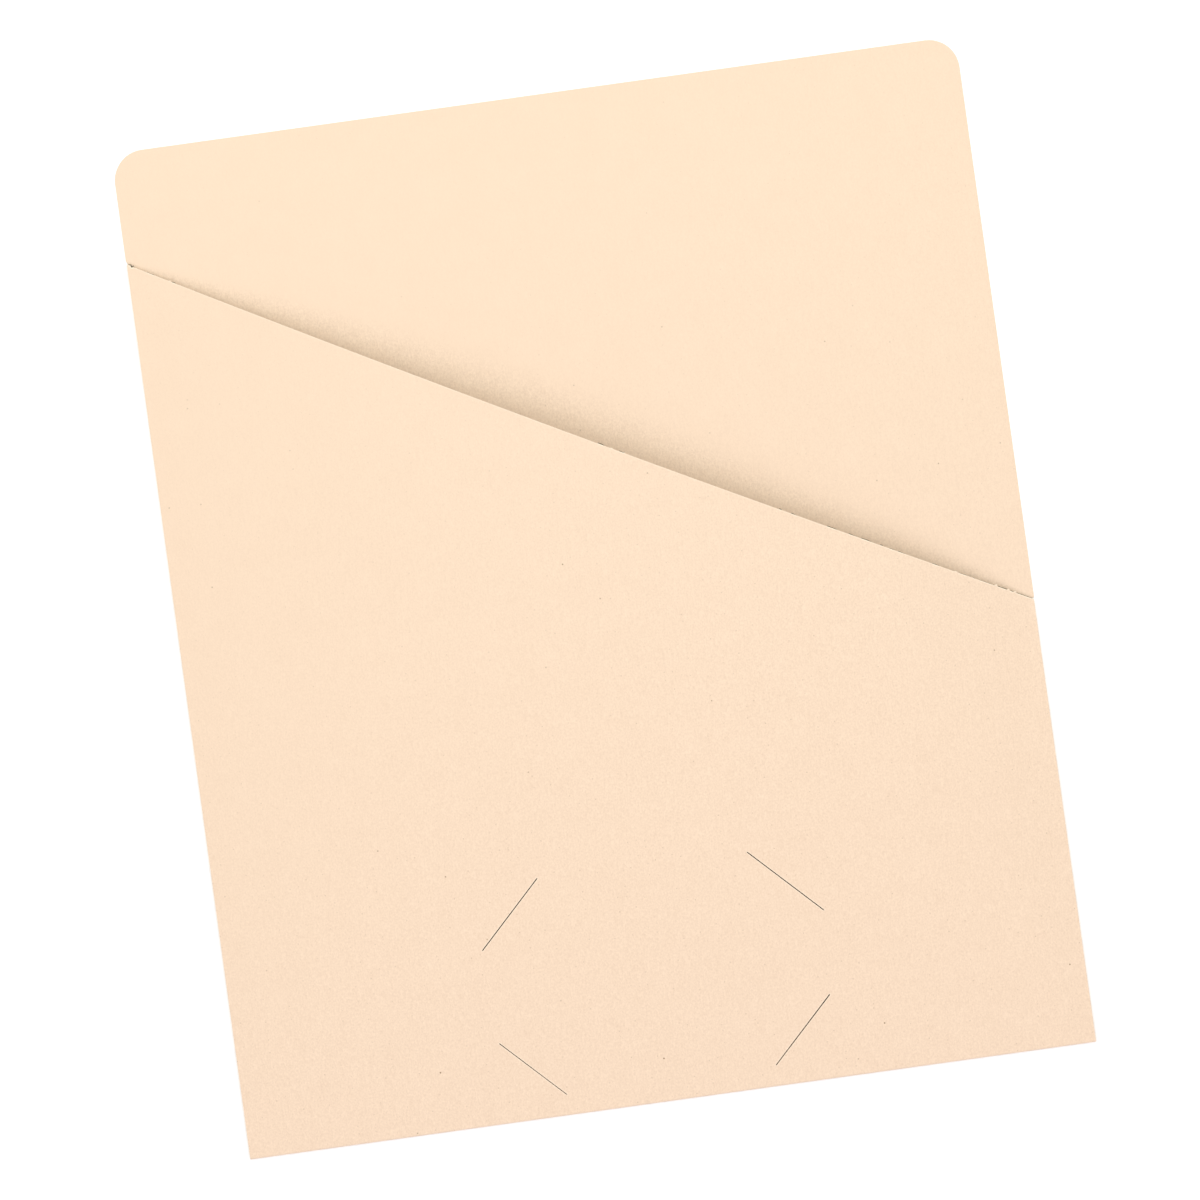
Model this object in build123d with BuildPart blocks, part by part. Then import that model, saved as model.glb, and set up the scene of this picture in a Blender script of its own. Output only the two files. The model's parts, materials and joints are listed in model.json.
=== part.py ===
from build123d import *
import os
from math import atan, degrees, radians, tan

# Letter-size pocket folder of manila card with a slanted mouth, lying on its back.
# One die-cut sheet is folded up at the bottom and in at both sides, and glued along two side flaps.
# X runs across the folder, Y up it and Z out of its front. The origin is below its middle, on the table.

# Sheet
card_thickness = 0.28
folder_width = 241.3
folder_height = 287.0
corner_radius = 8.7

# Slanted mouth: its left end's drop from the top edge, its fall to the right end, and its cut's dip below straight
mouth_left_drop = 31.6
mouth_fall = 129.4
mouth_dip = 2.0

# Bow of the pocket front at rest: two soft ridges run from the bottom corners up to the mouth
mouth_rise = 9.8
left_ridge_reach = 100.0
right_ridge_reach = 75.0
ridge_clearance = 0.1
ridge_overrun = 5.0

# Folds
side_fold_inset = 0.2
side_fold_gap = 0.12
hinge_clearance = 0.08

# Relief cuts where the cut sides turn into side folds: each runs in from the edge along the mouth's line
relief_gap = 0.22
left_relief_depth = 1.9
left_relief_radius = 1.8
right_relief_depth = 0.9
right_relief_radius = 0.45

# Glue flaps
flap_width = 12.7
flap_taper = 30.0
flap_setback = 1.0
glue_thickness = 0.05
glue_inset = 2.4

# Four slits that take the corners of a business card: heights are above the bottom edge, at the slits' middles
slit_width = 0.3
slit_angle = 45.0
slit_shift = 0.5
upper_slit_length = 26.0
upper_slit_spacing = 78.3
upper_slit_height = 57.6
lower_slit_length = 24.2
lower_slit_spacing = 76.6
lower_slit_height = 14.5

# Side folds: the card rolls round an axis just above the back panel
side_radius = side_fold_gap / 2
side_outer_radius = side_radius + card_thickness
fold_edge_x = folder_width / 2 - side_fold_inset
side_axis_x = fold_edge_x - side_outer_radius
side_axis_z = card_thickness + side_radius

# Levels above the table when the pocket is pressed shut
flap_level = side_axis_z + side_radius
glue_level = flap_level + card_thickness
front_level = glue_level + glue_thickness

# Bottom fold: its gap takes the flap and the glue
bottom_radius = (front_level - card_thickness) / 2
bottom_outer_radius = bottom_radius + card_thickness
bottom_edge_y = -folder_height / 2
top_edge_y = folder_height / 2
bottom_axis_y = bottom_edge_y + bottom_outer_radius
bottom_axis_z = card_thickness + bottom_radius


def mouth_y(x):
    """Height of the straight line between the mouth's two ends."""
    share_across = (x + folder_width / 2) / folder_width
    return top_edge_y - mouth_left_drop - share_across * mouth_fall


# Rest angles: each side panel meets the centre panel along its ridge
left_ridge_x = -side_axis_x + left_ridge_reach
right_ridge_x = side_axis_x - right_ridge_reach
left_ridge_run = mouth_y(left_ridge_x) - bottom_axis_y
right_ridge_run = mouth_y(right_ridge_x) - bottom_axis_y
right_mouth_rise = mouth_rise * right_ridge_run / left_ridge_run
front_tilt = degrees(atan(mouth_rise / left_ridge_run))
left_tilt = degrees(atan(mouth_rise / left_ridge_reach))
right_tilt = degrees(atan(right_mouth_rise / right_ridge_reach))


def swung(x, y, z, turn_x, turn_y):
    """Ground plane swung about a fold axis through the point, so flat-sheet coordinates still hold on it."""
    return Plane(Pos(x, y, z) * Rot(turn_x, turn_y, 0) * Pos(-x, -y, -z))


def ridge_end(side, inset):
    """Point just past the mouth on the ridge of one side, moved towards the middle by inset."""
    reach, run = (left_ridge_reach, left_ridge_run) if side < 0 else (right_ridge_reach, right_ridge_run)
    stretch = 1 + ridge_overrun / run
    return side * (side_axis_x - stretch * reach - inset), bottom_axis_y + stretch * run


def front_outline():
    """Flat front panel, from the bottom fold to the slanted mouth, drawn in the current sketch."""
    foot_y = bottom_axis_y + hinge_clearance
    left_end = (-fold_edge_x, mouth_y(-fold_edge_x))
    right_end = (fold_edge_x, mouth_y(fold_edge_x))
    with BuildLine() as profile:
        Polyline(left_end, (-fold_edge_x, foot_y), (fold_edge_x, foot_y), right_end)
        ThreePointArc(left_end, (0, mouth_y(0) - mouth_dip), right_end)
    make_face(profile.edges())


def side_region(side, inset):
    """Keeps what lies between one side and its ridge, with the ridge moved towards the middle by inset."""
    end_x, end_y = ridge_end(side, inset)
    corner = (side * (side_axis_x - inset), bottom_axis_y)
    outside = side * folder_width
    Polygon(
        corner, (end_x, end_y), (end_x, top_edge_y), (outside, top_edge_y), (outside, bottom_axis_y),
        align=None, mode=Mode.INTERSECT,
    )


def fold_section(axis, radius, start, sweep):
    """Section of a rolled fold about its axis, drawn in the current sketch."""
    with BuildLine() as profile:
        outer = CenterArc(axis, radius + card_thickness, start, sweep)
        inner = CenterArc(axis, radius, start, sweep)
        Line(outer @ 0, inner @ 0)
        Line(outer @ 1, inner @ 1)
    make_face(profile.edges())


os.makedirs("parts", exist_ok=True)

# Back panel: full height, round top corners, and a relief at the top of each side fold
with BuildPart() as back_panel:
    with BuildSketch() as back_outline:
        with Locations((0, bottom_axis_y)):
            Rectangle(folder_width, top_edge_y - bottom_axis_y, align=(Align.CENTER, Align.MIN))
        fillet(back_outline.vertices().group_by(Axis.Y)[-1], corner_radius)
        for side, relief_depth, relief_radius in (
            (-1, left_relief_depth, left_relief_radius),
            (1, right_relief_depth, right_relief_radius),
        ):
            fold_x = side * side_axis_x
            edge_x = side * folder_width / 2
            relief_x = edge_x - side * relief_depth
            outside = side * folder_width
            Polygon(
                (outside, bottom_axis_y), (fold_x, bottom_axis_y),
                (fold_x, mouth_y(fold_x)), (relief_x, mouth_y(relief_x)),
                (relief_x, mouth_y(relief_x) + relief_gap), (outside, mouth_y(outside) + relief_gap),
                align=None, mode=Mode.SUBTRACT,
            )
            relief_corner = (edge_x, mouth_y(edge_x) + relief_gap, 0)
            fillet(back_outline.vertices().sort_by_distance(relief_corner)[0], relief_radius)
    extrude(amount=card_thickness)

back_panel.part.label = "back_panel"
export_step(back_panel.part, "parts/back_panel.step")

# Bottom crease: the card rolls up from the back panel to the tilted centre of the front
with BuildPart() as bottom_crease:
    with BuildSketch(Plane.YZ):
        fold_section((bottom_axis_y, bottom_axis_z), bottom_radius, 90 + front_tilt, 180 - front_tilt)
    extrude(amount=fold_edge_x, both=True)

bottom_crease.part.label = "bottom_crease"
export_step(bottom_crease.part, "parts/bottom_crease.step")

# Centre of the front panel: hinged on the bottom crease, with the card slits
front_plane = swung(0, bottom_axis_y, bottom_axis_z, front_tilt, 0)
with BuildPart() as front_panel_center:
    with BuildSketch(front_plane.offset(front_level)):
        front_outline()
        Polygon(
            (-side_axis_x + ridge_clearance, bottom_axis_y),
            (side_axis_x - ridge_clearance, bottom_axis_y),
            ridge_end(1, ridge_clearance),
            ridge_end(-1, ridge_clearance),
            align=None, mode=Mode.INTERSECT,
        )
        for row, length, spacing, height in (
            (-1, lower_slit_length, lower_slit_spacing, lower_slit_height),
            (1, upper_slit_length, upper_slit_spacing, upper_slit_height),
        ):
            for side in (-1, 1):
                with Locations((slit_shift + side * spacing / 2, bottom_edge_y + height)):
                    Rectangle(length, slit_width, rotation=-side * row * slit_angle, mode=Mode.SUBTRACT)
    extrude(amount=card_thickness)

front_panel_center.part.label = "front_panel_center"
export_step(front_panel_center.part, "parts/front_panel_center.step")

# Each side: the crease, the flap folded in from the back panel, the glue on it and the front over it
for side, name, tilt in ((-1, "left", left_tilt), (1, "right", right_tilt)):
    fold_top = mouth_y(side * fold_edge_x)
    side_plane = swung(side * side_axis_x, 0, side_axis_z, 0, side * tilt)
    fold_start = -90 if side > 0 else 90 + tilt

    with BuildPart() as side_crease:
        with BuildSketch(Plane.XZ.offset(-fold_top)):
            fold_section((side * side_axis_x, side_axis_z), side_radius, fold_start, 180 - tilt)
        extrude(amount=fold_top - bottom_axis_y)

    with BuildPart() as glue_flap:
        with BuildSketch(side_plane.offset(flap_level)) as flap_outline:
            flap_top = fold_top - flap_setback
            Polygon(
                (side * (side_axis_x - hinge_clearance), bottom_axis_y + flap_setback),
                (side * (side_axis_x - flap_width), bottom_axis_y + flap_setback),
                (side * (side_axis_x - flap_width), flap_top - flap_width * tan(radians(flap_taper))),
                (side * (side_axis_x - hinge_clearance), flap_top),
                align=None,
            )
            side_region(side, -flap_setback)
        extrude(amount=card_thickness)

    with BuildPart() as glue_line:
        with BuildSketch(side_plane.offset(glue_level)):
            add(flap_outline.sketch_local)
            offset(amount=-glue_inset, kind=Kind.INTERSECTION, mode=Mode.REPLACE)
        extrude(amount=glue_thickness)

    with BuildPart() as side_panel:
        with BuildSketch(side_plane.offset(front_level)):
            front_outline()
            side_region(side, 0)
        extrude(amount=card_thickness)

    side_crease.part.label = f"{name}_side_crease"
    glue_flap.part.label = f"{name}_glue_flap"
    glue_line.part.label = f"{name}_glue_line"
    side_panel.part.label = f"front_panel_{name}"
    for piece in (side_crease, glue_flap, glue_line, side_panel):
        export_step(piece.part, f"parts/{piece.part.label}.step")

print("front tilt at rest", round(front_tilt, 3), "degrees")
print("side tilts at rest", round(left_tilt, 3), round(right_tilt, 3), "degrees")
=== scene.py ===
import json
import math

import bpy
import numpy as np
from mathutils import Matrix, Vector, noise
from mathutils.geometry import delaunay_2d_cdt


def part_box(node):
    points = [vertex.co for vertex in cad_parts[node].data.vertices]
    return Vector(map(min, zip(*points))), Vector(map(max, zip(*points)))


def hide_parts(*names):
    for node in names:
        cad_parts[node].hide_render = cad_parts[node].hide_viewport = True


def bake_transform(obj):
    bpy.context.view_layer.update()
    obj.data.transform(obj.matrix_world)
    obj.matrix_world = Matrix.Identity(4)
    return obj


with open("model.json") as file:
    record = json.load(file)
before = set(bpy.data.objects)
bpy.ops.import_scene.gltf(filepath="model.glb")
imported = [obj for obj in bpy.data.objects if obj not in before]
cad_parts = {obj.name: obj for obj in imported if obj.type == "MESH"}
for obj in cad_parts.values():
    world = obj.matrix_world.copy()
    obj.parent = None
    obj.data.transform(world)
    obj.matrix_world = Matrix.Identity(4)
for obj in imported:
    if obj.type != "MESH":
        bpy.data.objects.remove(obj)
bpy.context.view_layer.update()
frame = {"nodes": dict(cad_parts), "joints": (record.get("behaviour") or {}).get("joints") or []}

mm = 0.001

# Lie of the folder, read from the frame: fold axes, card thickness and the two ends of the mouth
foldAxis = {joint["name"]: Vector(joint["pos_m"]) for joint in frame["joints"]}
bottomAxis = foldAxis["bottom_fold"]
leftAxis = foldAxis["left_fold"]
rightAxis = foldAxis["right_fold"]
backLow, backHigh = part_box("back_panel")
cardThickness = backHigh.z - backLow.z
leftCreaseLow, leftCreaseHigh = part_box("left_side_crease")
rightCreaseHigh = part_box("right_side_crease")[1]
leftEdgeX = leftCreaseLow.x
rightEdgeX = rightCreaseHigh.x
mouthWidth = rightEdgeX - leftEdgeX
mouthLeftY = leftCreaseHigh.y
mouthRightY = rightCreaseHigh.y
mouthRun = Vector((mouthWidth, mouthRightY - mouthLeftY))
mouthAcross = mouthRun.normalized()
mouthOutward = Vector((-mouthAcross.y, mouthAcross.x))
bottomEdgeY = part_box("bottom_crease")[0].y
frontLevel = 2 * bottomAxis.z - cardThickness  # underside of the front where it leaves the bottom fold
hairline = 0.001 * mm  # too short to matter, but not nothing
print("frame: card", round(cardThickness / mm, 3), "mm, mouth", round(mouthWidth / mm, 1), "mm across")


def addNode(tree, kind, settings=None, values=None, links=None):
    node = tree.nodes.new(kind)
    for name, value in (settings or {}).items():
        setattr(node, name, value)
    for socket, value in (values or {}).items():
        node.inputs[socket].default_value = value
    for socket, source in (links or {}).items():
        tree.links.new(source, node.inputs[socket])
    return node


def hexColour(code):
    channels = [int(code[i : i + 2], 16) / 255 for i in (1, 3, 5)]
    linear = [c / 12.92 if c <= 0.04045 else ((c + 0.055) / 1.055) ** 2.4 for c in channels]
    return (*linear, 1)


def newMaterial(name):
    material = bpy.data.materials.new(name)
    material.use_nodes = True
    material.node_tree.nodes.clear()
    return material, material.node_tree


# Manila card, uncoated and calendered: a matt buff face with a fine even grain, faint clouds where the pulp
# lies thicker, a few dark shives and a paler core where it is cut; the rolled folds are made paler as painted
# light, the torn fibres under the mouth's cut darker as painted shade, and above the mouth the tooth's
# shading is painted as grain
cardFinish = {
    "light": "#E7CFB6",
    "dark": "#DDC4AB",
    "core": "#F2E2CB",
    # painted shade: the dark under the mouth's cut, carried by the torn fibres
    "speck": "#7F6748",
    "tornShade": "#5F523D",
    "rimShare": 0.6,  # how much of the paler core shows on the face along a cut
    "wallCoreAndFoldLightShare": 0.8,  # and on the cut's own wall, and as painted light on the rolled folds
    "wallCoreAndFoldLightStart": 0.95,  # how level a surface is where the paler tone starts: core on cut walls, painted light on rolled folds
    "wallCoreAndFoldLightFull": 0.3,  # and where it is full
    "tornShadeFull": 0.4,  # share of torn fibre at which its painted shade is full
    "grainSize": 0.45,  # mm
    "grainStretch": 1.3,  # the grain runs up the folder
    "grainDepth": 2.35,
    "fibreWidth": 0.35,  # mm; real fibres are a tenth of this, drawn coarse so that they show
    "fibreLength": 2.6,  # mm
    "fibreTurn": 12,  # degrees, off the way that the grain runs
    "fibreDepth": 0.7,
    "cloudSize": 9.0,  # mm
    "cloudDepth": 0.3,
    "pressedWay": (0.54, -0.84, 0),  # the sheet was pressed smoother at the start of this way, its top left
    "pressedRun": (-110 * mm, 45 * mm),
    "pressedDepth": (0.4, 1.2),
    "shadedToothRun": (16 * mm, 3.5 * mm),  # above the mouth's middle: the painted shading of the tooth starts, and is strongest
    "roughness": 0.88,
    "roughnessSpread": 0.06,
    "ior": 1.5,
    "toothHeight": 0.02 * mm,
    "toothStrength": 0.5,
}
cardSpecks = {  # one small spot in a share of the cells, most of them faint; spacing and radius in mm
    "shive": {"spacing": 9.0, "radius": 0.3, "share": 0.27, "faintness": 5, "depth": 0.9},
    "fleck": {"spacing": 2.4, "radius": 0.24, "share": 0.36, "faintness": 2, "depth": 0.28},
}
speckCore = 0.4  # share of a speck's radius that is at full depth
cardFaces = {  # each pattern is shifted, in mm, so that the layers don't repeat each other
    "back": {"patternShift": 0, "coarseness": 0.65, "shadedToothDepth": 1.5},  # the sheet's inner, smoother face, with the tooth's shading painted above the mouth
    "front": {"patternShift": 370, "coarseness": 1, "shadedToothDepth": 0},
    "flap": {"patternShift": 810, "coarseness": 1, "shadedToothDepth": 0},
}
cutEdge = "cut_edge"  # mesh attribute: 1 along a cut, 0 a rim's width away
tornShadeEdge = "torn_shade_edge"  # mesh attribute: 1 where torn fibres hang below a cut and carry painted shade


def manilaCard(name, patternShift, coarseness, shadedToothDepth):
    finish = cardFinish
    material, tree = newMaterial(name)
    place = addNode(tree, "ShaderNodeTexCoord")
    inMillimetres = addNode(
        tree, "ShaderNodeMapping",
        values={"Location": (patternShift, patternShift, 0), "Scale": (1 / mm, 1 / mm, 1 / mm)},
        links={"Vector": place.outputs["Object"]},
    )
    grainAxes = addNode(
        tree, "ShaderNodeMapping",
        values={"Scale": (1, 1 / finish["grainStretch"], 1)},
        links={"Vector": inMillimetres.outputs[0]},
    )
    grain = addNode(
        tree, "ShaderNodeTexNoise",
        values={"Scale": 1 / finish["grainSize"], "Detail": 2, "Roughness": 0.6},
        links={"Vector": grainAxes.outputs[0]},
    )
    fibreAxes = addNode(
        tree, "ShaderNodeMapping",
        values={
            "Rotation": (0, 0, math.radians(finish["fibreTurn"])),
            "Scale": (1 / finish["fibreWidth"], 1 / finish["fibreLength"], 1),
        },
        links={"Vector": inMillimetres.outputs[0]},
    )
    fibre = addNode(
        tree, "ShaderNodeTexNoise",
        values={"Scale": 1, "Detail": 1, "Distortion": 0.6},
        links={"Vector": fibreAxes.outputs[0]},
    )
    cloud = addNode(
        tree, "ShaderNodeTexNoise",
        values={"Scale": 1 / finish["cloudSize"], "Detail": 3, "Roughness": 0.55},
        links={"Vector": inMillimetres.outputs[0]},
    )

    # Tone: half way from dark to light buff, moved by clouds, and by grain and fibres, less where pressed,
    # and more above the mouth where the tooth's shading is painted
    alongPress = addNode(
        tree, "ShaderNodeVectorMath", {"operation": "DOT_PRODUCT"},
        values={1: finish["pressedWay"]},
        links={0: place.outputs["Object"]},
    )
    pressStart, pressEnd = finish["pressedRun"]
    smooth, rough = (coarseness * depth for depth in finish["pressedDepth"])
    depth = addNode(
        tree, "ShaderNodeMapRange",
        values={"From Min": pressStart, "From Max": pressEnd, "To Min": smooth, "To Max": rough},
        links={"Value": alongPress.outputs["Value"]},
    )
    toneDepth = depth
    if shadedToothDepth:
        # Close above the bowed mouth only low side light comes in, and the tooth stands out. Relief that fine
        # is lost in the render, so the tooth's light and shade are painted there as a deeper grain.
        fromMouth = addNode(
            tree, "ShaderNodeVectorMath", {"operation": "SUBTRACT"},
            values={1: (leftEdgeX, mouthLeftY, 0)},
            links={0: place.outputs["Object"]},
        )
        aboveMouth = addNode(
            tree, "ShaderNodeVectorMath", {"operation": "DOT_PRODUCT"},
            values={1: (*mouthOutward, 0)},
            links={0: fromMouth.outputs[0]},
        )
        alongMouth = addNode(
            tree, "ShaderNodeVectorMath", {"operation": "DOT_PRODUCT"},
            values={1: (*mouthAcross, 0)},
            links={0: fromMouth.outputs[0]},
        )
        leastShare = 0.001  # keeps the bow from being nothing at the mouth's ends
        fromLeft = addNode(
            tree, "ShaderNodeMapRange",
            values={"From Max": mouthRun.length, "To Min": leastShare, "To Max": 1 - leastShare},
            links={"Value": alongMouth.outputs["Value"]},
        )
        fourFromRight = addNode(
            tree, "ShaderNodeMath", {"operation": "MULTIPLY_ADD"},
            values={1: -4, 2: 4},
            links={0: fromLeft.outputs[0]},
        )
        bow = addNode(  # 1 at the mouth's middle
            tree, "ShaderNodeMath", {"operation": "MULTIPLY"},
            links={0: fromLeft.outputs[0], 1: fourFromRight.outputs[0]},
        )
        overBow = addNode(
            tree, "ShaderNodeMath", {"operation": "DIVIDE"},
            links={0: aboveMouth.outputs["Value"], 1: bow.outputs[0]},
        )
        shadedToothStart, shadedToothFull = finish["shadedToothRun"]
        paintedToothShade = addNode(
            tree, "ShaderNodeMapRange", {"interpolation_type": "SMOOTHSTEP"},
            values={"From Min": shadedToothStart, "From Max": shadedToothFull, "To Max": shadedToothDepth},
            links={"Value": overBow.outputs[0]},
        )
        toneDepth = addNode(
            tree, "ShaderNodeMath", {"operation": "MAXIMUM"},
            links={0: depth.outputs[0], 1: paintedToothShade.outputs[0]},
        )
    grainTone = addNode(
        tree, "ShaderNodeMath", {"operation": "MULTIPLY_ADD"},
        values={1: finish["grainDepth"], 2: -0.5 * (finish["grainDepth"] + finish["fibreDepth"])},
        links={0: grain.outputs[0]},
    )
    fineTone = addNode(
        tree, "ShaderNodeMath", {"operation": "MULTIPLY_ADD"},
        values={1: finish["fibreDepth"]},
        links={0: fibre.outputs[0], 2: grainTone.outputs[0]},
    )
    evenTone = addNode(
        tree, "ShaderNodeMath", {"operation": "MULTIPLY_ADD"},
        values={2: 0.5 * (1 - finish["cloudDepth"])},
        links={0: fineTone.outputs[0], 1: toneDepth.outputs[0]},
    )
    tone = addNode(
        tree, "ShaderNodeMath", {"operation": "MULTIPLY_ADD"},
        values={1: finish["cloudDepth"]},
        links={0: cloud.outputs[0], 2: evenTone.outputs[0]},
    )
    buff = addNode(
        tree, "ShaderNodeMix", {"data_type": "RGBA", "clamp_factor": False},
        values={6: hexColour(finish["dark"]), 7: hexColour(finish["light"])},
        links={0: tone.outputs[0]},
    )

    # Specks: dark shives of bark, and finer flecks
    spotted = buff
    for speck in cardSpecks.values():
        cells = addNode(
            tree, "ShaderNodeTexVoronoi", {"voronoi_dimensions": "2D"},
            values={"Scale": 1 / speck["spacing"]},
            links={"Vector": inMillimetres.outputs[0]},
        )
        radius = speck["radius"] / speck["spacing"]
        spot = addNode(
            tree, "ShaderNodeMapRange", {"interpolation_type": "SMOOTHSTEP"},
            values={"From Min": radius, "From Max": speckCore * radius, "To Max": speck["depth"]},
            links={"Value": cells.outputs["Distance"]},
        )
        cellDraw = addNode(tree, "ShaderNodeSeparateColor", links={0: cells.outputs["Color"]})
        chosen = addNode(
            tree, "ShaderNodeMapRange",
            values={"From Min": speck["share"], "From Max": 0},
            links={"Value": cellDraw.outputs[0]},
        )
        darkness = addNode(
            tree, "ShaderNodeMath", {"operation": "POWER"},
            values={1: speck["faintness"]},
            links={0: chosen.outputs[0]},
        )
        share = addNode(
            tree, "ShaderNodeMath", {"operation": "MULTIPLY"},
            links={0: spot.outputs[0], 1: darkness.outputs[0]},
        )
        shown = addNode(
            tree, "ShaderNodeMath", {"operation": "MULTIPLY"},
            links={0: share.outputs[0], 1: depth.outputs[0]},
        )
        spotted = addNode(
            tree, "ShaderNodeMix", {"data_type": "RGBA"},
            values={7: hexColour(finish["speck"])},
            links={0: shown.outputs[0], 6: spotted.outputs[2]},
        )

    # Cut walls stand upright on the lying folder and show the paler core. On the rolled folds the same paler
    # tone is painted light, lifting the shade where they turn away from the lamps
    surface = addNode(tree, "ShaderNodeNewGeometry")
    upright = addNode(tree, "ShaderNodeSeparateXYZ", links={0: surface.outputs["True Normal"]})
    level = addNode(tree, "ShaderNodeMath", {"operation": "ABSOLUTE"}, links={0: upright.outputs[2]})
    wallCoreAndFoldLight = addNode(
        tree, "ShaderNodeMapRange",
        values={
            "From Min": finish["wallCoreAndFoldLightStart"],
            "From Max": finish["wallCoreAndFoldLightFull"],
            "To Max": finish["wallCoreAndFoldLightShare"],
        },
        links={"Value": level.outputs[0]},
    )
    cut = addNode(tree, "ShaderNodeAttribute", {"attribute_name": cutEdge})
    rim = addNode(
        tree, "ShaderNodeMath", {"operation": "MULTIPLY"},
        values={1: finish["rimShare"]},
        links={0: cut.outputs["Fac"]},
    )
    bared = addNode(
        tree, "ShaderNodeMath", {"operation": "MAXIMUM"},
        links={0: wallCoreAndFoldLight.outputs[0], 1: rim.outputs[0]},
    )
    pale = addNode(
        tree, "ShaderNodeMix", {"data_type": "RGBA"},
        values={7: hexColour(finish["core"])},
        links={0: bared.outputs[0], 6: spotted.outputs[2]},
    )
    # Torn fibres: their dark colour is painted shade, the shade close under the mouth's cut edge and, at the
    # mouth's left end, the shade in the relief slot
    tornShade = addNode(tree, "ShaderNodeAttribute", {"attribute_name": tornShadeEdge})
    paintedTornShade = addNode(
        tree, "ShaderNodeMapRange",
        values={"From Max": finish["tornShadeFull"]},
        links={"Value": tornShade.outputs["Fac"]},
    )
    colour = addNode(
        tree, "ShaderNodeMix", {"data_type": "RGBA"},
        values={7: hexColour(finish["tornShade"])},
        links={0: paintedTornShade.outputs[0], 6: pale.outputs[2]},
    )

    # Relief and dullness follow the grain
    tooth = addNode(
        tree, "ShaderNodeMath", {"operation": "ADD"},
        links={0: grain.outputs[0], 1: fibre.outputs[0]},
    )
    relief = addNode(
        tree, "ShaderNodeBump",
        values={"Strength": finish["toothStrength"], "Distance": finish["toothHeight"]},
        links={"Height": tooth.outputs[0]},
    )
    dull, spread = finish["roughness"], finish["roughnessSpread"]
    dullness = addNode(
        tree, "ShaderNodeMapRange",
        values={"To Min": dull - spread, "To Max": dull + spread},
        links={"Value": grain.outputs[0]},
    )
    shader = addNode(
        tree, "ShaderNodeBsdfPrincipled",
        values={"IOR": finish["ior"]},
        links={
            "Base Color": colour.outputs[2],
            "Roughness": dullness.outputs[0],
            "Normal": relief.outputs[0],
        },
    )
    addNode(tree, "ShaderNodeOutputMaterial", links={"Surface": shader.outputs[0]})
    return material


# Dried paper glue: a thin cream film, smoother than the card, with small bubbles left by the roller
glueFinish = {
    "film": "#E9DFC7",
    "thick": "#DCCDAA",
    "patchSize": 3.0,  # mm
    "bubbleSize": 0.6,  # mm
    "bubbleHeight": 0.01 * mm,
    "bubbleStrength": 0.6,
    "roughness": 0.45,
    "ior": 1.47,
}


def driedGlue(name):
    finish = glueFinish
    material, tree = newMaterial(name)
    place = addNode(tree, "ShaderNodeTexCoord")
    inMillimetres = addNode(
        tree, "ShaderNodeMapping",
        values={"Scale": (1 / mm, 1 / mm, 1 / mm)},
        links={"Vector": place.outputs["Object"]},
    )
    patches = addNode(
        tree, "ShaderNodeTexNoise",
        values={"Scale": 1 / finish["patchSize"], "Detail": 3},
        links={"Vector": inMillimetres.outputs[0]},
    )
    colour = addNode(
        tree, "ShaderNodeMix", {"data_type": "RGBA"},
        values={6: hexColour(finish["film"]), 7: hexColour(finish["thick"])},
        links={0: patches.outputs[0]},
    )
    bubbles = addNode(
        tree, "ShaderNodeTexVoronoi", {"feature": "SMOOTH_F1"},
        values={"Scale": 1 / finish["bubbleSize"]},
        links={"Vector": inMillimetres.outputs[0]},
    )
    relief = addNode(
        tree, "ShaderNodeBump",
        values={"Strength": finish["bubbleStrength"], "Distance": finish["bubbleHeight"]},
        links={"Height": bubbles.outputs["Distance"]},
    )
    shader = addNode(
        tree, "ShaderNodeBsdfPrincipled",
        values={"IOR": finish["ior"], "Roughness": finish["roughness"]},
        links={"Base Color": colour.outputs[2], "Normal": relief.outputs[0]},
    )
    addNode(tree, "ShaderNodeOutputMaterial", links={"Surface": shader.outputs[0]})
    return material


backCard = manilaCard("manila_card_back", **cardFaces["back"])
frontCard = manilaCard("manila_card_front", **cardFaces["front"])
flapCard = manilaCard("manila_card_flap", **cardFaces["flap"])
paperGlue = driedGlue("dried_paper_glue")
print("materials: manila card and paper glue")


# Sheets of card: an outline and its slits are filled with triangles, laid on a curved surface and thickened
sheetMaking = {
    "rimClear": 0.6,  # least distance from a rim's points to the outline, in rims
    "rimDoubled": 0.05,  # a rim's point is left out where another cut is nearer, by this share of a rim
    "fillClear": 0.45,  # least distance from the filling points to a cut, in steps
    "mergeWithin": 1e-5,  # mm
    "tornShadeBoost": 0.6,  # how much paler the rim is above the torn fibres' painted shade
    "sharpAngle": 35,  # degrees; a sharper bend shows as an edge
}
fillInside = 1  # what to fill: all that lies inside the outline


def runOfPoints(start, end, step):
    count = max(1, math.ceil((Vector(end) - Vector(start)).length / step))
    return [Vector(start).lerp(Vector(end), i / count) for i in range(count)]


def closed(loop):
    return [*loop, loop[0]]


def insideLoop(x, y, loop):
    inside = np.zeros(np.shape(x), bool)
    for (ax, ay), (bx, by) in zip(loop, closed(loop)[1:]):
        if ay != by:
            crosses = (ay > y) != (by > y)
            inside ^= crosses & (x < ax + (y - ay) * (bx - ax) / (by - ay))
    return inside


def distanceToRun(x, y, run):
    leastSquare = 1e-18  # for two points that coincide
    nearest = np.full(np.shape(x), np.inf)
    for (ax, ay), (bx, by) in zip(run, run[1:]):
        dx, dy = bx - ax, by - ay
        square = max(dx * dx + dy * dy, leastSquare)
        share = np.clip(((x - ax) * dx + (y - ay) * dy) / square, 0, 1)
        nearest = np.minimum(nearest, np.hypot(x - ax - share * dx, y - ay - share * dy))
    return nearest


def cutShare(x, y, cuts, rim):
    nearest = np.full(np.shape(x), np.inf)
    for cut in cuts:
        nearest = np.minimum(nearest, distanceToRun(x, y, cut))
    return np.clip(1 - nearest / rim, 0, 1)


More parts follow.
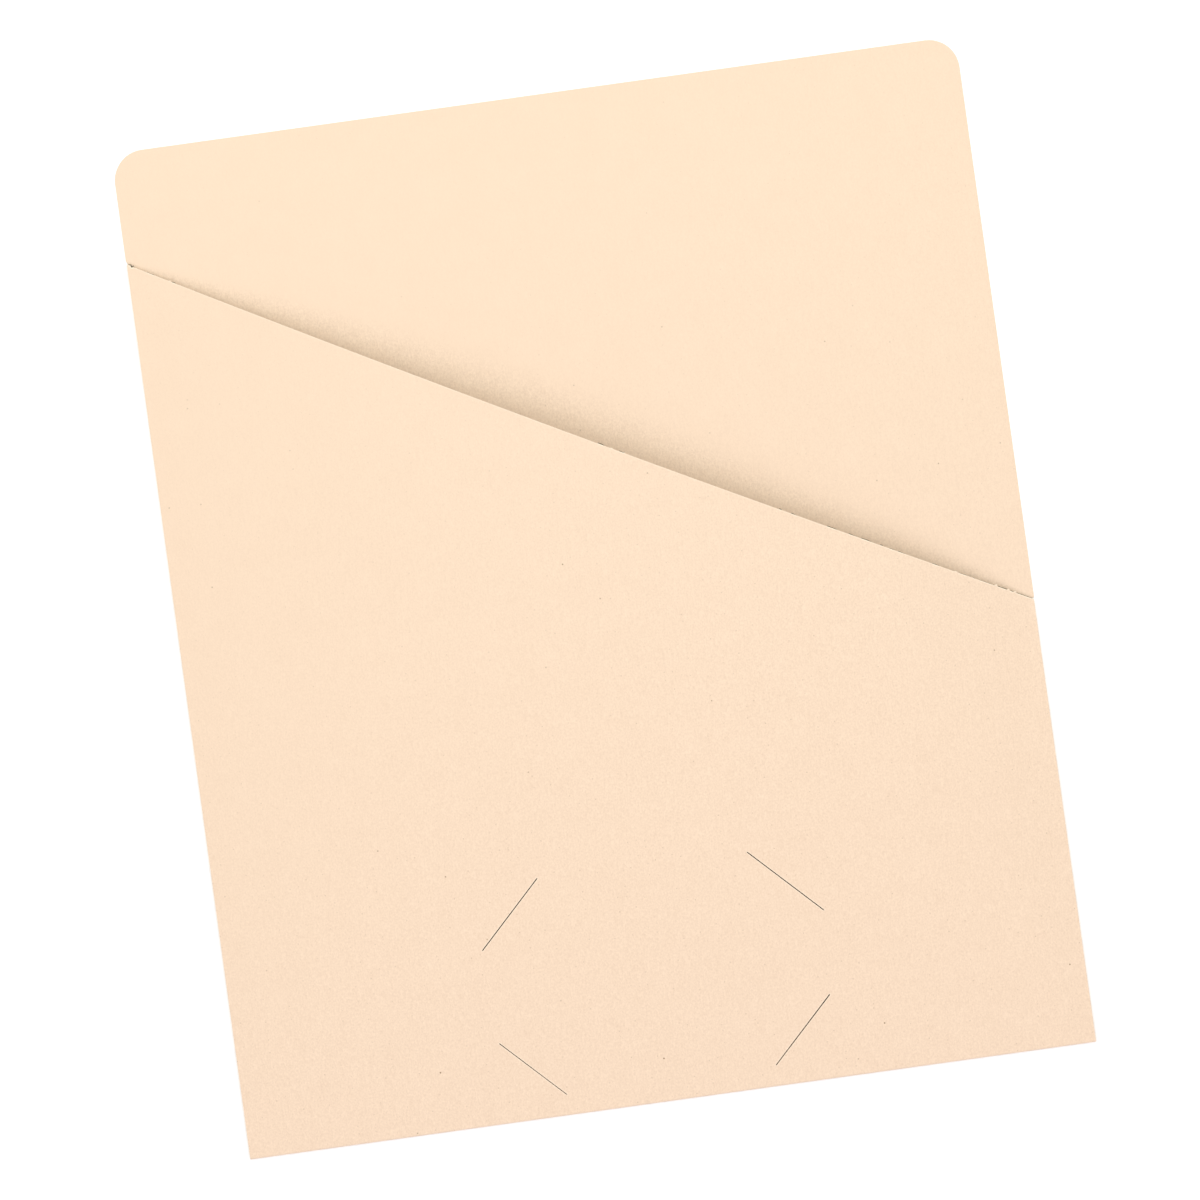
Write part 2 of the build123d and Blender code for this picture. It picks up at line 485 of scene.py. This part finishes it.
def rimPoints(outline, slits, cuts, rim):
    points = []
    for cut in cuts:
        run = np.array(cut)
        along = np.gradient(run, axis=0)
        across = np.column_stack([-along[:, 1], along[:, 0]]) / np.linalg.norm(along, axis=1)[:, None]
        points += [run + rim * across, run - rim * across]
    x, y = np.vstack(points).T
    clear = sheetMaking["rimClear"] * rim
    keep = insideLoop(x, y, outline) & (distanceToRun(x, y, closed(outline)) > clear)
    keep &= cutShare(x, y, cuts, rim) < sheetMaking["rimDoubled"]
    for slit in slits:
        keep &= ~insideLoop(x, y, slit)
    return [Vector(point) for point in zip(x[keep], y[keep])]


def fillPoints(outline, slits, step):
    xs, ys = zip(*outline)
    rows = np.arange(min(ys), max(ys), step * math.sqrt(0.75))  # rows of triangles with equal sides
    columns = np.arange(min(xs), max(xs), step)
    x = np.array([columns + (row % 2) * step / 2 for row in range(len(rows))])
    y = np.repeat(rows[:, None], len(columns), 1)
    clear = sheetMaking["fillClear"] * step
    keep = insideLoop(x, y, outline) & (distanceToRun(x, y, closed(outline)) > clear)
    for slit in slits:
        keep &= ~insideLoop(x, y, slit) & (distanceToRun(x, y, closed(slit)) > clear)
    return [Vector(point) for point in zip(x[keep], y[keep])]


def cardSheet(name, outline, underside, thickness, step, material, slits=(), cuts=(), rim=1, tornShade=None):
    points, edges = [], []
    for loop in (outline, *slits):
        first = len(points)
        points += loop
        edges += [(first + i, first + (i + 1) % len(loop)) for i in range(len(loop))]
    if cuts:
        points += rimPoints(outline, slits, cuts, rim)
    points += fillPoints(outline, slits, step)
    inMillimetres = [point / mm for point in points]
    filled = delaunay_2d_cdt(inMillimetres, edges, [], fillInside, sheetMaking["mergeWithin"])
    flat, _, triangles = filled[:3]
    x, y = np.array(flat).T * mm
    middleX, middleY = (np.array([c[list(t)].mean() for t in triangles]) for c in (x, y))
    gone = np.zeros(len(triangles), bool)
    for slit in slits:
        gone |= insideLoop(middleX, middleY, slit)
    triangles = [tuple(t) for t, isGone in zip(triangles, gone) if not isGone]
    count = len(x)
    z = underside(x, y)
    hang = tornShade(x, y) if tornShade else np.zeros((count, 3))  # torn fibres draw the lower edge out, so that their painted shade shows from above
    vertices = np.vstack([np.column_stack([x, y, z]) + hang, np.column_stack([x, y, z + thickness])])
    sides = {(a, b) for t in triangles for a, b in zip(t, t[1:] + t[:1])}
    walls = [(a, b, b + count, a + count) for a, b in sorted(sides) if (b, a) not in sides]
    upper = [tuple(v + count for v in t) for t in triangles]
    lower = [t[::-1] for t in triangles]
    mesh = bpy.data.meshes.new(name)
    mesh.from_pydata(vertices.tolist(), [], upper + lower + walls)
    # painted shade of the torn fibres: full on their drawn-out lower edge
    isTornShade = hang.any(axis=1).astype(float)
    bared = cutShare(x, y, cuts, rim)
    paler = bared * (1 + sheetMaking["tornShadeBoost"] * isTornShade)
    for attribute, below, above in ((cutEdge, bared, paler), (tornShadeEdge, isTornShade, 0 * isTornShade)):
        layer = mesh.attributes.new(attribute, "FLOAT", "POINT")
        layer.data.foreach_set("value", np.concatenate([below, above]))
    mesh.validate()
    mesh.shade_smooth()
    mesh.set_sharp_from_angle(angle=math.radians(sheetMaking["sharpAngle"]))
    mesh.materials.append(material)
    piece = bpy.data.objects.new(name, mesh)
    bpy.context.scene.collection.objects.link(piece)
    return piece


# Pocket front: a bowed sheet from the folds to the slanted mouth. Its two halves meet where they move as one
pocketFront = {
    "leftSlope": 0.1235,  # rise from each fold, before the three soften into one bow
    "rightSlope": 0.234,
    "rightEasing": 6 * mm,  # the right side leaves its fold nearly flat
    "bottomSlope": 0.0633,
    "roundness": 2.54,  # higher leaves sharper ridges between the three
    "mouthDip": 2.0 * mm,
    "meetingX": 22 * mm,
    "leftReach": 100 * mm,  # from each side fold to where the front swings as a whole
    "rightReach": 75 * mm,
    "cutRim": 0.35 * mm,  # paler band along the mouth and the slits
    "footLap": 0.03 * mm,  # the sheet laps the end of the bottom crease
    "edgeStep": 2.5 * mm,
    "fillStep": 4 * mm,
}


def frontUnderside(x, y):
    front = pocketFront
    fromRight = np.maximum(rightAxis.x - x, hairline)
    rises = (
        front["leftSlope"] * np.maximum(x - leftAxis.x, hairline),
        front["rightSlope"] * fromRight**2 / (fromRight + front["rightEasing"]),
        front["bottomSlope"] * np.maximum(y - bottomAxis.y, hairline),
    )
    power = front["roundness"]
    return frontLevel + sum(rise**-power for rise in rises) ** (-1 / power)


def mouthPoint(share):
    dip = 4 * share * (1 - share) * pocketFront["mouthDip"]
    straightY = mouthLeftY + share * (mouthRightY - mouthLeftY)
    return Vector((leftEdgeX + share * mouthWidth, straightY - dip))


# Die nicks: stubs of the tiny bridges that held the blank, left along the mouth's cut edge
dieNicks = {
    "places": (0.0056, 0.0478, 0.534, 0.548, 0.913, 0.9578, 0.9716, 0.9788),  # shares from the mouth's left
    "heights": (-0.4 * mm, 0.25 * mm, 0.25 * mm, 0.2 * mm, 0.25 * mm, 0.5 * mm, 0.45 * mm, 0.4 * mm),
    "width": 0.7 * mm,
    "profile": ((-1, 0), (-0.7, 0.9), (0.5, 1), (1, 0)),  # along in half widths, and up in heights
    "clear": 1.5,  # half widths kept free of other points
}

# Torn fibres: where the blank was pulled off its bridges, fibres hang out from under the cut edge. Their dark
# colour is
# painted shade: the shade close under the lip and, at the mouth's left end, the shade in the relief slot
shadedTornFibres = {
    "stretches": (  # start and end as shares of the mouth's width, and reach
        (0.0037, 0.0076, 0.7 * mm),
        (0.0250, 0.0312, 0.1 * mm),
        (0.0496, 0.0542, 0.25 * mm),
        (0.5180, 0.5245, 0.35 * mm),
        (0.5415, 0.5485, 0.25 * mm),
        (0.7172, 0.7197, 0.3 * mm),
        (0.7305, 0.7322, 0.3 * mm),
        (0.7700, 0.7765, 0.3 * mm),
        (0.7938, 0.7964, 0.3 * mm),
        (0.8105, 0.8143, 0.3 * mm),
        (0.8288, 0.8313, 0.3 * mm),
        (0.8390, 0.8425, 0.2 * mm),
        (0.8480, 0.8525, 0.2 * mm),
        (0.8860, 0.8912, 0.2 * mm),
        (0.9165, 0.9245, 0.15 * mm),
        (0.9315, 0.9340, 0.15 * mm),
        (0.9383, 0.9525, 0.12 * mm),
        (0.9540, 0.9562, 0.12 * mm),
        (0.9598, 0.9698, 0.26 * mm),
        (0.9736, 0.9770, 0.22 * mm),
        (0.9808, 0.9944, 0.17 * mm),
    ),
    "step": 0.3 * mm,
    "clear": 6e-4,  # share of the mouth kept free of other points at each end of a stretch
    "raggedness": 0.9 * mm,  # length of a fray
    "usualReach": 0.85,
    "frayedReach": 0.35,
}


def tornShadeReach(share):
    for start, end, reach in shadedTornFibres["stretches"]:
        if start < share < end:
            along = share * mouthRun.length / shadedTornFibres["raggedness"]
            frayed = shadedTornFibres["frayedReach"] * noise.noise(Vector((along, 0, 0)))
            return reach * (shadedTornFibres["usualReach"] + frayed)
    return 0


def hangFrom(mouth):
    def hang(x, y):
        onMouth = distanceToRun(x, y, mouth) < hairline
        shares = (x - leftEdgeX) / mouthWidth
        reach = np.array([tornShadeReach(share) if isOn else 0 for share, isOn in zip(shares, onMouth)])
        return reach[:, None] * np.array([*mouthOutward, 0])
    return hang


def mouthLine(startShare, endShare):
    count = math.ceil((endShare - startShare) * mouthRun.length / pocketFront["edgeStep"])
    shares = list(np.linspace(startShare, endShare, count))
    clear = shadedTornFibres["clear"]
    for start, end, _ in shadedTornFibres["stretches"]:
        if startShare < start and end < endShare:
            tornShadeCount = math.ceil((end - start) * mouthRun.length / shadedTornFibres["step"]) + 1
            shares = [share for share in shares if not start - clear < share < end + clear or share in (0, 1)]
            shares += list(np.linspace(start, end, tornShadeCount))
    halfNick = 0.5 * dieNicks["width"] / mouthRun.length
    points = []
    for share in shares:
        if all(abs(share - place) > dieNicks["clear"] * halfNick for place in dieNicks["places"]):
            points.append((share, mouthPoint(share)))
    for place, height in zip(dieNicks["places"], dieNicks["heights"]):
        if startShare < place < endShare:
            for along, up in dieNicks["profile"]:
                share = place + along * halfNick
                points.append((share, mouthPoint(share) + up * height * mouthOutward))
    return [point for share, point in sorted(points, key=lambda item: item[0])]


# Card slits: four thin cuts at 45 degrees that take the corners of a business card, none quite like another
cardSlits = {  # the middle across and above the bottom edge, the length and width, and which way it leans
    "upperLeft": {"middle": (-38.4 * mm, 58.4 * mm), "size": (26.0 * mm, 0.28 * mm), "lean": 1},
    "upperRight": {"middle": (39.9 * mm, 57.0 * mm), "size": (27.6 * mm, 0.27 * mm), "lean": -1},
    "lowerLeft": {"middle": (-37.9 * mm, 14.3 * mm), "size": (24.3 * mm, 0.24 * mm), "lean": -1},
    "lowerRight": {"middle": (39.0 * mm, 14.8 * mm), "size": (25.4 * mm, 0.32 * mm), "lean": 1},
    "taper": 0.97,  # the blade's ends leave a point
    "step": 2.5 * mm,
}


def slitLoop(slit):
    middleX, height = slit["middle"]
    length, width = slit["size"]
    centre = Vector((middleX, bottomEdgeY + height))
    along = Vector((1, slit["lean"])).normalized() * length / 2
    across = Vector((-along.y, along.x)).normalized() * width / 2
    taper = cardSlits["taper"]
    corners = [
        centre - along,
        centre - taper * along - across,
        centre + taper * along - across,
        centre + along,
        centre + taper * along + across,
        centre - taper * along + across,
    ]
    loop = []
    for start, end in zip(corners, corners[1:] + corners[:1]):
        loop += runOfPoints(start, end, cardSlits["step"])
    return loop


def frontHalf(name, side):
    front = pocketFront
    meetingX = front["meetingX"]
    meetingShare = (meetingX - leftEdgeX) / mouthWidth
    foot = bottomAxis.y - front["footLap"]
    step = front["edgeStep"]
    rimDrop = Vector((0, -front["cutRim"] / mouthAcross.x))  # from the mouth to the paler band's lower edge
    meetingFoot = Vector((meetingX, foot))
    meetingTop = mouthPoint(meetingShare) + rimDrop
    meetingLine = [*runOfPoints(meetingFoot, meetingTop, step), meetingTop]
    if side < 0:
        mouth = mouthLine(0, meetingShare)
        corner = Vector((leftEdgeX, foot))
        outline = runOfPoints(corner, meetingFoot, step) + meetingLine + mouth[::-1]
        outline += runOfPoints(mouthPoint(0) + rimDrop, corner, step)
    else:
        mouth = mouthLine(meetingShare, 1)
        corner = Vector((rightEdgeX, foot))
        sideTop = mouthPoint(1) + rimDrop
        outline = runOfPoints(meetingFoot, corner, step) + runOfPoints(corner, sideTop, step)
        outline += [sideTop, *mouth[::-1], *meetingLine[:0:-1]]
    sideName = "Left" if side < 0 else "Right"
    slits = [slitLoop(cardSlits[row + sideName]) for row in ("upper", "lower")]
    cuts = [mouth, *(closed(slit) for slit in slits)]
    return cardSheet(
        name, outline, frontUnderside, cardThickness, front["fillStep"], frontCard,
        slits, cuts, front["cutRim"], hangFrom(mouth),
    )


leftHalf = frontHalf("pocket_front_left", -1)
rightHalf = frontHalf("pocket_front_right", 1)
print("pocket front:", len(leftHalf.data.polygons) + len(rightHalf.data.polygons), "faces")

# Glue flaps, folded in from the back and stuck under the front, and the glue between
glueFlaps = {
    "width": 12.7 * mm,
    "setback": 1 * mm,
    "topTaper": 30,  # degrees
    "footRise": 2.0,  # the flap's foot is cut this steeply, clear of the bottom corner
    "glueThickness": 0.05 * mm,
    "glueInset": 2.4 * mm,
    "step": 3 * mm,
}


def flapOutline(side, inset):
    flap = glueFlaps
    axisX = leftAxis.x if side < 0 else rightAxis.x
    foldTop = mouthLeftY if side < 0 else mouthRightY
    inner = flap["width"] - inset
    outer = inset
    top = foldTop - flap["setback"] - inset
    foot = bottomAxis.y + flap["setback"] + inset
    taper = math.tan(math.radians(flap["topTaper"]))
    corners = [
        Vector((axisX - side * outer, foot + flap["footRise"] * outer)),
        Vector((axisX - side * inner, foot + flap["footRise"] * inner)),
        Vector((axisX - side * inner, top - taper * inner)),
        Vector((axisX - side * outer, top - taper * outer)),
    ]
    if side > 0:
        corners.reverse()
    outline = []
    for start, end in zip(corners, corners[1:] + corners[:1]):
        outline += runOfPoints(start, end, flap["step"])
    return outline


def underFront(depth):
    return lambda x, y: frontUnderside(x, y) - depth


glueDepth = glueFlaps["glueThickness"]
flapDepth = glueDepth + cardThickness
sidePieces = {}
for side, name in ((-1, "left"), (1, "right")):
    step = glueFlaps["step"]
    flapEdge = flapOutline(side, 0)
    glueEdge = flapOutline(side, glueFlaps["glueInset"])
    flap = cardSheet(name + "_flap", flapEdge, underFront(flapDepth), cardThickness, step, flapCard)
    glue = cardSheet(name + "_glue", glueEdge, underFront(glueDepth), glueDepth, step, paperGlue)
    sidePieces[name] = (flap, glue)
print("glue flaps and glue lines: 2 of each")

# Each half of the front, with its flap and glue, keeps its place in the world, and the CAD pieces that it
# stands for are hidden
for half, name, axis, side in ((leftHalf, "left", leftAxis, -1), (rightHalf, "right", rightAxis, 1)):
    flap, glue = sidePieces[name]
    for piece in (half, flap, glue):
        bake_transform(piece)
    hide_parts("front_panel_" + name, "front_panel_center")
    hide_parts(name + "_glue_flap")
    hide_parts(name + "_glue_line")

for name in ("back_panel", "bottom_crease", "left_side_crease", "right_side_crease"):
    node = frame["nodes"][name]
    node.data.materials.clear()
    node.data.materials.append(backCard)

# Stage: a matt white table in a white room, under two large softboxes, one faintly pink and one faintly
# green, and a small one near the folder's top edge; metres and watts
studio = {
    "tableSize": 12,
    "tableDrop": 0.05 * mm,
    "tableWhite": "#FBFBFA",
    "tableShade": "#F7F7F6",
    "tablePatch": 40,  # mm
    "tableRoughness": 0.9,
    "roomStrength": 0.328,
    "near": {"width": 2.4, "depth": 1.2, "place": (0, -0.72, 0.95), "power": 12.29, "tint": "#FFF6FF"},
    "far": {"width": 2.4, "depth": 1.2, "place": (0, 0.48, 0.95), "power": 11.25, "tint": "#F9FFF8"},
    "topEdge": {"width": 1.0, "depth": 0.3, "place": (0, 0.3, 0.42), "power": 0.845, "tint": "#FAFFFC"},
}


def mattTable(name):
    material, tree = newMaterial(name)
    place = addNode(tree, "ShaderNodeTexCoord")
    patches = addNode(
        tree, "ShaderNodeTexNoise",
        values={"Scale": 1 / (studio["tablePatch"] * mm), "Detail": 2},
        links={"Vector": place.outputs["Object"]},
    )
    colour = addNode(
        tree, "ShaderNodeMix", {"data_type": "RGBA"},
        values={6: hexColour(studio["tableShade"]), 7: hexColour(studio["tableWhite"])},
        links={0: patches.outputs[0]},
    )
    shader = addNode(
        tree, "ShaderNodeBsdfPrincipled",
        values={"Roughness": studio["tableRoughness"]},
        links={"Base Color": colour.outputs[2]},
    )
    addNode(tree, "ShaderNodeOutputMaterial", links={"Surface": shader.outputs[0]})
    return material


halfTable = studio["tableSize"] / 2
tableSides = ((-1, -1), (1, -1), (1, 1), (-1, 1))
tableCorners = [(x * halfTable, y * halfTable, -studio["tableDrop"]) for x, y in tableSides]
tableMesh = bpy.data.meshes.new("table")
tableMesh.from_pydata(tableCorners, [], [(0, 1, 2, 3)])
tableMesh.materials.append(mattTable("matt_white_table"))
table = bpy.data.objects.new("table", tableMesh)
bpy.context.scene.collection.objects.link(table)

room = bpy.data.worlds.new("white_room")
room.use_nodes = True
room.node_tree.nodes.clear()
roomLight = addNode(
    room.node_tree, "ShaderNodeBackground",
    values={"Color": (1, 1, 1, 1), "Strength": studio["roomStrength"]},
)
addNode(room.node_tree, "ShaderNodeOutputWorld", links={"Surface": roomLight.outputs[0]})
bpy.context.scene.world = room

for name in ("near", "far", "topEdge"):
    softboxData = bpy.data.lights.new(name, "AREA")
    softboxData.shape = "RECTANGLE"
    softboxData.size = studio[name]["width"]
    softboxData.size_y = studio[name]["depth"]
    softboxData.energy = studio[name]["power"]
    softboxData.color = hexColour(studio[name]["tint"])[:3]
    softbox = bpy.data.objects.new(name, softboxData)
    softbox.location = studio[name]["place"]
    bpy.context.scene.collection.objects.link(softbox)

# Camera: nearly straight down, turned so that the folder leans to the left in the picture
lookDown = {
    "aim": Vector((-0.96 * mm, -0.7 * mm, 0)),
    "distance": 2.0,
    "turns": {"Z": -7.944, "X": 1.178, "Y": 0.303},  # degrees, in this order
    "fieldOfView": 9.695,  # degrees
}
turn = Matrix.Identity(4)
for axis, angle in lookDown["turns"].items():
    turn = turn @ Matrix.Rotation(math.radians(angle), 4, axis)
cameraData = bpy.data.cameras.new("camera")
cameraData.sensor_fit = "HORIZONTAL"
cameraData.angle = math.radians(lookDown["fieldOfView"])
camera = bpy.data.objects.new("camera", cameraData)
pulledBack = Matrix.Translation((0, 0, lookDown["distance"]))
camera.matrix_world = Matrix.Translation(lookDown["aim"]) @ turn @ pulledBack
bpy.context.scene.collection.objects.link(camera)
bpy.context.scene.camera = camera
bpy.context.scene.view_settings.view_transform = "Standard"
print("stage, light and camera are set")
